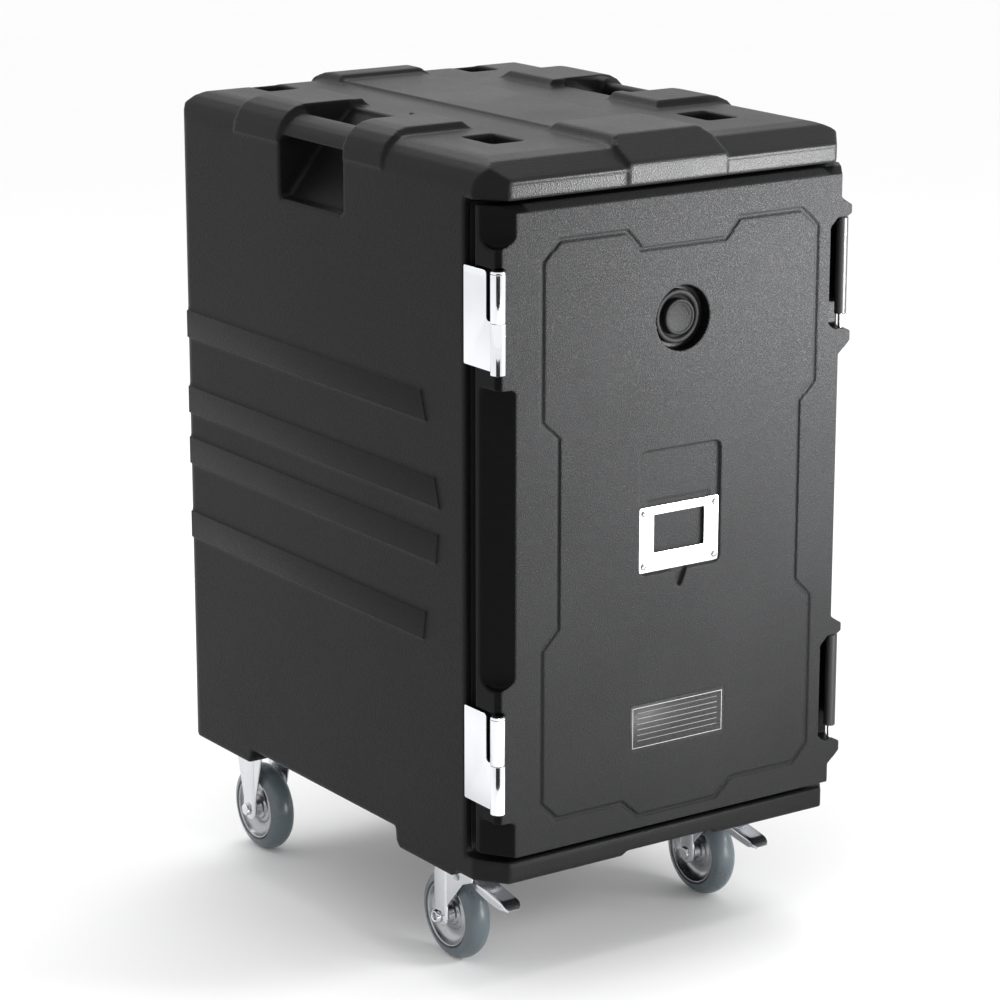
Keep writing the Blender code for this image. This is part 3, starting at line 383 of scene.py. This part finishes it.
def mesh_from(bm, name, smooth=35.0):
    """Close a bmesh into a smooth-shaded mesh that stays sharp past an angle."""
    bmesh.ops.remove_doubles(bm, verts=bm.verts, dist=1e-6)
    bmesh.ops.recalc_face_normals(bm, faces=bm.faces)
    mesh = bpy.data.meshes.new(name)
    bm.to_mesh(mesh)
    bm.free()
    mesh.shade_smooth()
    mesh.set_sharp_from_angle(angle=math.radians(smooth))
    return mesh


def turned(name, profile, axis, centre, sides, smooth=40.0):
    """Spin a closed (radius, offset) profile, in millimetres, about a line along x, d or z."""
    bm = bmesh.new()
    verts = [bm.verts.new((r, 0.0, off)) for r, off in profile]
    edges = []
    for near, far in zip(verts, verts[1:] + verts[:1]):
        if near.co.x > 1e-9 or far.co.x > 1e-9:
            edges.append(bm.edges.new((near, far)))
    bmesh.ops.spin(
        bm, geom=verts + edges, cent=(0.0, 0.0, 0.0), axis=(0.0, 0.0, 1.0),
        angle=2.0 * math.pi, steps=sides, use_merge=True,
    )
    x, depth, z = centre
    for vert in bm.verts:
        u, v, off = vert.co
        if axis == "x":
            vert.co = row(x + off, depth + u, z + v)
        elif axis == "d":
            vert.co = row(x + u, depth + off, z + v)
        else:
            vert.co = row(x + u, depth + v, z + off)
    return mesh_from(bm, name, smooth)


def slab(name, outline, axis, low, high, bevel=0.0, segments=3, smooth=40.0):
    """Extrude an outline along x, d or z and round its edges."""
    place = {
        "x": lambda a, b, c: row(c, a, b),
        "d": lambda a, b, c: row(a, c, b),
        "z": lambda a, b, c: row(a, b, c),
    }[axis]
    bm = bmesh.new()
    face = bm.faces.new([bm.verts.new(place(a, b, low)) for a, b in outline])
    grown = bmesh.ops.extrude_face_region(bm, geom=[face])
    moved = [g for g in grown["geom"] if isinstance(g, bmesh.types.BMVert)]
    bmesh.ops.translate(bm, verts=moved, vec=place(0, 0, high) - place(0, 0, low))
    bmesh.ops.recalc_face_normals(bm, faces=bm.faces)
    if bevel > 0.0:
        sharp = [e for e in bm.edges if len(e.link_faces) == 2 and e.calc_face_angle(0.0) > math.radians(20)]
        bmesh.ops.bevel(
            bm, geom=sharp, offset=bevel * MM, segments=segments, profile=0.5,
            affect="EDGES", clamp_overlap=True,
        )
    return mesh_from(bm, name, smooth)


def joined(name, *meshes):
    """One mesh out of several."""
    bm = bmesh.new()
    for mesh in meshes:
        bm.from_mesh(mesh)
    result = bpy.data.meshes.new(name)
    bm.to_mesh(result)
    bm.free()
    return result


def arc(cx, cy, radius, start, stop, steps):
    """Points on a circle between two angles in degrees, both ends included."""
    points = []
    for step in range(steps + 1):
        angle = math.radians(start + (stop - start) * step / steps)
        points.append((cx + radius * math.cos(angle), cy + radius * math.sin(angle)))
    return points


def rounded(x0, x1, y0, y1, radius, steps=6):
    """Outline of a rectangle with round corners."""
    return (
        arc(x1 - radius, y0 + radius, radius, -90, 0, steps)
        + arc(x1 - radius, y1 - radius, radius, 0, 90, steps)
        + arc(x0 + radius, y1 - radius, radius, 90, 180, steps)
        + arc(x0 + radius, y0 + radius, radius, 180, 270, steps)
    )


def hexagon(cx, cy, radius, turn=0.0):
    return arc(cx, cy, radius, turn, turn + 300.0, 5)


def show(name, mesh, look, node, body):
    """Add a finished mesh as a piece that rides on a body and may stand for a CAD node."""
    obj = link(name, mesh, look, body)
    if node:
        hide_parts(node)
    return obj


# ------------------------------------------------------------ moulded skins
# The door's side flats and the vent's well take the darkest plastic as painted shade, for the sides turned
# from the light and the well's hollow; they are also smooth, unlike the grained front.
soft_solid("body_skin", "body_shell", "body_foam", 0.0022, 3, 0.16, "body", "body")
door_skin = soft_solid(
    "door_skin", "door_shell", "door_foam", 0.0014, 3, 0.22, "door", "door",
)
door_skin.data.materials.append(MATS["edge"])
for face in door_skin.data.polygons:
    x, y, z = face.center
    in_vent_well = math.hypot(x, z - VENT_Z * MM) < VENT_WELL_RADIUS
    if y > DOOR_FRONT_Y + 0.0012 and (abs(x) > DOOR_SIDE_X or in_vent_well):
        face.material_index = 1

# Side bands in millimetres: top, bottom, and where the slanted front end meets each.
BANDS = [
    (641.0, 610.0, 124.0, 114.0), (554.0, 523.0, 99.0, 90.0),
    (495.0, 464.0, 93.0, 97.0), (408.0, 377.0, 116.0, 121.0),
]
band_meshes = []
for upper, lower, end_upper, end_lower in BANDS:
    for sign in (-1, 1):
        outline = [(end_lower, lower), (601.0, lower), (601.0, upper), (end_upper, upper)]
        xs = sorted((sign * 226.0, sign * 231.7))
        band_meshes.append(slab("band", outline, "x", xs[0], xs[1], 0.9, 3))
show("side_bands", joined("side_bands", *band_meshes), "body", None, "body")


# ------------------------------------------------------------------ casters
def tyre_profile():
    """Round tread section, from bead to bead."""
    crown = []
    for step in range(25):
        off = -15.9 + 31.8 * step / 24.0
        crown.append((35.0 + math.sqrt(16.0 ** 2 - (off * 0.998) ** 2), off))
    bead = [(36.5, -12.4), (37.6, -13.4), (38.2, -14.9)]
    return bead + crown[3:-3] + [(r, -off) for r, off in reversed(bead)]


def rim_profile():
    """Dished disc with pressed steps, a hub tube and a rolled lip, alike on both faces."""
    half = [
        (5.4, 15.7), (6.0, 16.0), (8.4, 16.0), (9.0, 15.4), (9.3, 9.6), (10.2, 8.8), (12.8, 8.6), (13.6, 8.0),
        (13.9, 6.6), (14.8, 6.0), (17.6, 5.8), (18.6, 5.2), (19.2, 4.3), (21.0, 3.8), (24.5, 3.9), (28.0, 4.9),
        (31.0, 7.0), (33.0, 9.8), (34.1, 12.4), (34.5, 13.6), (35.2, 14.2), (36.0, 14.1), (36.4, 13.4),
    ]
    return half + [(r, -off) for r, off in reversed(half)]


def wheel_centre(tag):
    """Middle of a wheel, read from its CAD tyre, in millimetres."""
    low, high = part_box(f"tyre_{tag}")
    centre = (low + high) / 2.0
    return (centre.x / MM, centre.y / MM + SILL_TO_MIDDLE, AXLE_Z)


def axle_set(tag, out):
    """Bolt, washer and nut, with a hollow sleeve end on a front axle and a hexagon head on a rear one."""
    x, depth, z = wheel_centre(tag)
    front = tag.startswith("f")
    shaft = turned("shaft", [(0.0, -22.0), (4.9, -22.0), (4.9, 22.0), (0.0, 22.0)], "x", (x, depth, z), 32)
    washer = [(4.8, 21.3), (8.6, 21.3), (8.9, 21.6), (8.9, 22.5), (8.6, 22.8), (4.8, 22.8)]
    washer = [(r, off * out) for r, off in washer]
    parts = [shaft, turned("washer", washer, "x", (x, depth, z), 40)]
    if front:
        sleeve = [
            (0.0, 24.6), (3.6, 24.6), (4.0, 25.0), (4.2, 29.0), (5.0, 29.6), (6.1, 29.6),
            (6.7, 29.0), (6.9, 27.6), (7.3, 27.0), (7.6, 25.4), (7.6, 22.8), (0.0, 22.8),
        ]
        parts.append(turned("sleeve", [(r, off * out) for r, off in sleeve], "x", (x, depth, z), 40))
        socket = [(depth + u * 0.42, z + v * 0.42) for u, v in hexagon(0, 0, 7.0)]
        xs = sorted((x + 24.5 * out, x + 26.6 * out))
        parts.append(slab("socket", socket, "x", xs[0], xs[1], 0.3, 2))
    else:
        xs = sorted((x + 22.8 * out, x + 27.4 * out))
        parts.append(slab("head", hexagon(depth, z, 7.5, 12.0), "x", xs[0], xs[1], 0.9, 3))
        crown = [(0.0, 28.0), (3.2, 27.9), (4.6, 27.4), (4.6, 26.0), (0.0, 26.0)]
        parts.append(turned("crown", [(r, off * out) for r, off in crown], "x", (x, depth, z), 32))
    xs = sorted((x - 21.3 * out, x - 26.0 * out))
    parts.append(slab("nut", hexagon(depth, z, 7.5, 5.0), "x", xs[0], xs[1], 0.8, 3))
    return joined(f"axle_set_{tag}", *parts)


def leg_strip(x, depth, half, bulge, top):
    """One cheek's pressed outer face: a flattened upright bar with a round lower end."""
    bm = bmesh.new()
    sides = 32
    turns = [math.radians(a) for a in range(9, 91, 9)]
    stations = [(math.sin(a), AXLE_Z - half * math.cos(a)) for a in turns]
    stations.append((1.0, top))
    rings = []
    for share, z in stations:
        ring = []
        for step in range(sides):
            turn = 2.0 * math.pi * step / sides
            u = half * share * math.cos(turn)
            ring.append(bm.verts.new(row(x + bulge * share ** 0.6 * math.sin(turn), depth + u, z)))
        rings.append(ring)
    for under, over in zip(rings, rings[1:]):
        for step in range(sides):
            after = (step + 1) % sides
            bm.faces.new((under[step], under[after], over[after], over[step]))
    bm.faces.new(rings[0])
    bm.faces.new(rings[-1])
    return mesh_from(bm, "leg_strip", 50)


def pedal_mesh(x, pivot_d, pivot_z):
    """Folded sheet: a tread with rounded corners, curved down at its end, and a flange on one side."""
    bm = bmesh.new()
    stations, across = 28, 22
    reach, drop = 80.0, 13.0
    grid = []
    for i in range(stations + 1):
        t = i / stations
        curl = max(0.0, (t - 0.86) / 0.14)
        line = []
        for j in range(across + 1):
            u = j / across
            wide = 10.2 - 2.6 * max(0.0, 1.0 - t / 0.35) ** 1.5
            if t > 0.93:
                wide -= 3.2 * ((t - 0.93) / 0.07) ** 2
            flange = max(0.0, 0.34 - u) / 0.34
            deep = (4.0 + 7.5 * math.sin(math.pi * min(1.0, t * 0.62 + 0.18))) * (1.0 - 0.75 * curl)
            px = -wide + 2.0 * wide * max(0.0, u - 0.30) / 0.70
            px -= 0.5 * math.sin(math.pi * min(1.0, flange * 1.4))
            pz = -drop * t ** 1.15 - deep * flange ** 0.9 - 5.5 * curl ** 2
            line.append(bm.verts.new(row(x + px, pivot_d - 2.0 - (reach - 5.0) * t, pivot_z + 2.2 + pz)))
        grid.append(line)
    for near, far in zip(grid, grid[1:]):
        for j in range(across):
            bm.faces.new((near[j], near[j + 1], far[j + 1], far[j]))
    bmesh.ops.recalc_face_normals(bm, faces=bm.faces)
    bmesh.ops.solidify(bm, geom=bm.faces, thickness=1.9 * MM)
    tube = [(3.35, -17.3), (4.3, -17.3), (4.6, -17.0), (4.6, 17.0), (4.3, 17.3), (3.35, 17.3)]
    hub = turned("hub", tube, "x", (x, pivot_d, pivot_z), 32, 30)
    return joined("pedal", mesh_from(bm, "tread_sheet", 50), hub)


for tag in ("fl", "fr", "rl", "rr"):
    centre = wheel_centre(tag)
    wheel_body = f"wheel_{tag}"
    frame_body = f"swivel_{tag}" if tag.startswith("f") else "body"
    outward = -1.0 if tag.endswith("l") else 1.0
    tread = turned("tread", tyre_profile(), "x", centre, WHEEL_SIDES, 60)
    show(f"tread_{tag}", tread, "tyre", f"tyre_{tag}", wheel_body)
    rim = turned("rim", rim_profile(), "x", centre, WHEEL_SIDES, 60)
    show(f"rim_{tag}", rim, "rim", f"wheel_rim_{tag}", wheel_body)
    show(f"axle_{tag}", axle_set(tag, outward), "zinc", f"axle_bolt_{tag}", frame_body)
    soft_solid(f"fork_{tag}", f"caster_fork_{tag}", None, 0.0008, 2, 0.12, "zinc", frame_body)
    places = [centre[0] - 20.9, centre[0] + 20.9]
    strips = [leg_strip(x, centre[1], 11.6, 2.2, 116.0) for x in places]
    show(f"fork_legs_{tag}", joined("legs", *strips), "zinc", None, frame_body)
for tag in ("fl", "fr"):
    low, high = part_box(f"pedal_pin_{tag}")
    pivot = (low + high) / 2.0
    pedal = pedal_mesh(pivot.x / MM, pivot.y / MM + SILL_TO_MIDDLE, pivot.z / MM)
    show(f"brake_{tag}", pedal, "zinc", f"brake_pedal_{tag}", f"pedal_{tag}")


# ------------------------------------------------------------------- hinges
def hinge_plate(z0, half, top):
    """Body leaf with the notch beside the door leaf's knuckle."""
    body = [(46.6, z0 + 1.2), (46.6, top - 1.2), (45.4, top), (11.4, top)]
    body += arc(11.4, top - 4.0, 4.0, 90, 180, 4)[1:]
    body += [(7.4, half + 4.0)] + arc(3.4, half + 4.0, 4.0, 0, -90, 4)[1:]
    body += [(-4.0, half), (-4.0, z0), (45.4, z0)]
    return slab("plate", body, "x", -230.65, -228.3, 0.45, 3)


for tag, shift in (("upper", 0.0), ("lower", 456.0)):
    z0 = 683.0 - shift
    half = z0 + 50.0
    top = z0 + 100.0
    spot = (-228.0, -10.0, 0.0)
    low_knuckle = [
        (3.6, z0 - 2.4), (6.9, z0 - 2.4), (7.8, z0 - 1.6),
        (7.8, half - 0.9), (7.5, half - 0.1), (3.6, half - 0.1),
    ]
    high_knuckle = [
        (3.6, half + 0.5), (7.5, half + 0.5), (7.8, half + 1.2),
        (7.8, top - 1.6), (7.5, top - 1.2), (3.6, top - 1.2),
    ]
    cap = [
        (0.0, z0 + 6.0), (3.4, z0 + 6.0), (3.4, top - 0.9), (7.4, top - 0.9), (7.8, top - 0.5),
        (7.8, top + 0.6), (6.9, top + 1.7), (4.5, top + 2.1), (0.0, top + 2.1),
    ]
    plate = joined("body_leaf", hinge_plate(z0, half, top), turned("knuckle", low_knuckle, "z", spot, 64, 30))
    show(f"hinge_plate_{tag}", plate, "chrome", f"hinge_body_leaf_{tag}", "body")
    barrel = turned("knuckle", high_knuckle, "z", spot, 64, 30)
    show(f"hinge_leaf_{tag}", barrel, "chrome", f"hinge_door_leaf_{tag}", "door")
    # The door leaf's arm takes the darkest plastic as painted shade, so it reads as the shaded slot beside the
    # knuckle.
    arm = [(-3.0, half + 2.0), (-3.0, top - 1.6), (27.0, top - 1.6), (27.0, half + 2.0)]
    show(f"hinge_arm_{tag}", slab("arm", arm, "x", -225.9, -224.2, 0.4), "edge", None, "door")
    pin = turned("cap", cap, "z", spot, 64, 30)
    show(f"hinge_cap_{tag}", pin, "chrome", f"hinge_pin_{tag}", "body")


# ------------------------------------------------------------------ latches
for tag in ("upper", "lower"):
    soft_solid(
        f"lever_{tag}", f"latch_lever_{tag}", None, 0.0008, 2, 0.2, "nylon", f"latch_{tag}",
    )


# ---------------------------------------------------- vent, menu frame, label
VENT = (0.0, 0.0, VENT_Z)
housing = [
    (8.4, 2.4), (21.4, 2.4), (22.0, 1.8), (22.6, 0.2), (23.4, -0.6), (24.4, -0.9), (26.4, -0.9), (27.5, -0.5),
    (28.2, 0.6), (28.5, 2.2), (28.5, 3.7), (8.4, 3.7),
]
ring = turned("vent_ring", housing, "d", VENT, 96, 50)
show("vent_ring", ring, "vent", "vent_housing", "door")
button = [
    (0.0, -4.3), (14.6, -4.3), (15.4, -4.5), (15.9, -4.9), (17.4, -4.9), (18.4, -4.4),
    (18.9, -3.4), (19.0, 1.9), (8.0, 1.9), (8.0, 3.4), (0.0, 3.4),
]
marks = [turned("button", button, "d", VENT, 96, 50)]
for step in range(7):
    angle = math.radians(8.0 + 11.0 * step)
    mark = []
    for radius, swing in ((11.4, -2.6), (13.4, -2.6), (13.4, 2.6), (11.4, 2.6)):
        turn = angle + math.radians(swing)
        mark.append((radius * math.cos(turn), VENT_Z + radius * math.sin(turn)))
    marks.append(slab("mark", mark, "d", -4.75, -4.2, 0.15, 2))
show("vent_button_face", joined("vent_button_face", *marks), "vent", "vent_cap", "vent_button")


def carved(mesh, cutters, smooth, bevel=0.0):
    """Cut shapes out of a mesh with Boolean modifiers, and round the edges if asked."""
    base = bpy.data.objects.new("carved", mesh)
    SCENE.collection.objects.link(base)
    tools = []
    for cutter in cutters:
        tool = bpy.data.objects.new("cutter", cutter)
        SCENE.collection.objects.link(tool)
        tools.append(tool)
        cut = base.modifiers.new("cut", "BOOLEAN")
        cut.operation = "DIFFERENCE"
        cut.object = tool
    if bevel > 0.0:
        edge = base.modifiers.new("edge", "BEVEL")
        edge.width = bevel * MM
        edge.segments = 2
        edge.limit_method = "ANGLE"
        edge.angle_limit = math.radians(50)
    flatten(base)
    result = base.data
    for thing in tools + [base]:
        bpy.data.objects.remove(thing)
    result.shade_smooth()
    result.set_sharp_from_angle(angle=math.radians(smooth))
    return result


def box_outline(x, z, wide, tall):
    return [(x - wide, z - tall), (x + wide, z - tall), (x + wide, z + tall), (x - wide, z + tall)]


surround = slab("menu_plate", rounded(-51.2, 51.2, 448.5, 517.5, 2.0, 4), "d", -8.3, -6.5)
window = slab("menu_hole", rounded(-32.5, 32.5, 468.0, 508.5, 1.0, 3), "d", -12.0, 0.0)
surround = carved(surround, [window], 30, 0.35)
show("menu_surround", surround, "frame", "menu_frame", "door")

SCREW_HEAD = [
    (0.0, -10.3), (1.3, -10.25), (2.6, -9.8), (3.3, -9.1), (3.5, -8.4), (1.5, -8.4), (1.5, -3.6), (0.0, -3.6),
]
for index, (x, z) in enumerate([(-45.8, 511.5), (45.8, 511.5), (-45.8, 455.0), (45.8, 455.0)]):
    head = turned("screw", SCREW_HEAD, "d", (x, 0.0, z), 40, 40)
    drive = [slab("drive", box_outline(x, z, *arm), "d", -12.0, -9.3) for arm in ((2.0, 0.42), (0.42, 2.0))]
    head = carved(head, drive, 35)
    show(f"menu_screw_head_{index + 1}", head, "screw", f"menu_screw_{index + 1}", "door")

plate = slab("rating_plate", rounded(-61.4, 61.4, 257.6, 307.4, 2.6), "d", -9.95, -9.3, 0.2, 2)
show("rating_plate", plate, "label", "label_plate", "door")


# ----------------------------------------------------------- stage and light
def plane(name, size, z):
    """A flat square that reaches size metres each way from its middle."""
    bm = bmesh.new()
    bmesh.ops.create_grid(bm, x_segments=1, y_segments=1, size=size)
    mesh = bpy.data.meshes.new(name)
    bm.to_mesh(mesh)
    bm.free()
    obj = bpy.data.objects.new(name, mesh)
    obj.location.z = z
    SCENE.collection.objects.link(obj)
    return obj


floor = plane("floor", 40.0, -0.0004)
floor_graph = Graph("floor_paint")
floor_tone = floor_graph.mix(floor_graph.noise(2.0), grey(0.92), grey(0.9))
floor.data.materials.append(floor_graph.finish(floor_tone, 0.9))
floor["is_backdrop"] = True


def area_light(name, location, target, size, power):
    """A soft box that points at a target."""
    light = bpy.data.lights.new(name, "AREA")
    light.shape = "RECTANGLE"
    light.size = size[0]
    light.size_y = size[1]
    light.energy = power
    obj = bpy.data.objects.new(name, light)
    obj.location = location
    aim = Vector(target) - Vector(location)
    obj.rotation_euler = aim.to_track_quat("-Z", "Y").to_euler()
    obj.visible_camera = False
    SCENE.collection.objects.link(obj)
    return obj


key = area_light("key", (0.62, -0.95, 0.66), (0.12, -0.3, 0.80), (0.4, 0.3), 13.5)
key.data.spread = math.radians(90.0)
wash = area_light("floor_wash", (0.35, -1.25, 1.25), (0.35, -1.249, 0.0), (1.8, 0.9), 18.0)
wash.data.spread = math.radians(70.0)
area_light("low", (0.35, -1.15, 0.16), (0.0, -0.2, 0.06), (0.4, 0.16), 4.0)
area_light("top", (0.5, 1.6, 2.9), (0.0, 0.0, 0.9), (2.4, 1.0), 32.0)

# A black card that only glossy surfaces see gives the metal its dark streaks.
card = plane("black_card", 0.5, 0.0)
card.data.materials.append(Graph("card_paint").finish(grey(0.003), 0.9))
card.scale = (1.5, 0.5, 1.0)
card.location = (-0.95, -1.38, 0.3)
card.rotation_euler = (math.radians(90.0), 0.0, math.radians(-34.6))
card.visible_camera = False
card.visible_diffuse = False
card.visible_shadow = False
card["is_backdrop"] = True

world = bpy.data.worlds.new("studio")
world.use_nodes = True
world.node_tree.nodes["Background"].inputs["Color"].default_value = (1.0, 1.0, 1.0, 1.0)
world.node_tree.nodes["Background"].inputs["Strength"].default_value = 1.07
SCENE.world = world

# ------------------------------------------------------------------- camera
# A long lens at the photograph's angle. The focal length counts in thousandths of the frame's width.
CAM_SPOT = Vector((-2.1151, -3.0459, 1.4454))
CAM_YAW = 0.6041
CAM_PITCH = 0.2618
CAM_ROLL = 0.0007
CAM_FOCAL = 3478.5


def camera_matrix():
    """The camera's place from its spot, yaw, pitch and roll."""
    forward = Vector((
        math.sin(CAM_YAW) * math.cos(CAM_PITCH),
        math.cos(CAM_YAW) * math.cos(CAM_PITCH),
        -math.sin(CAM_PITCH),
    ))
    right = Vector((math.cos(CAM_YAW), -math.sin(CAM_YAW), 0.0))
    up = right.cross(forward)
    tilted_right = math.cos(CAM_ROLL) * right + math.sin(CAM_ROLL) * up
    tilted_up = -math.sin(CAM_ROLL) * right + math.cos(CAM_ROLL) * up
    turn = Matrix((tilted_right, tilted_up, -forward)).transposed()
    return Matrix.Translation(CAM_SPOT) @ turn.to_4x4()


camera_data = bpy.data.cameras.new("camera")
camera_data.sensor_width = 36.0
camera_data.lens = CAM_FOCAL * 36.0 / 1000.0
camera_data.clip_start = 0.05
camera_data.clip_end = 60.0
camera = bpy.data.objects.new("camera", camera_data)
camera.matrix_world = camera_matrix()
SCENE.collection.objects.link(camera)
SCENE.camera = camera

SCENE.view_settings.view_transform = "Standard"

low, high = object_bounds()
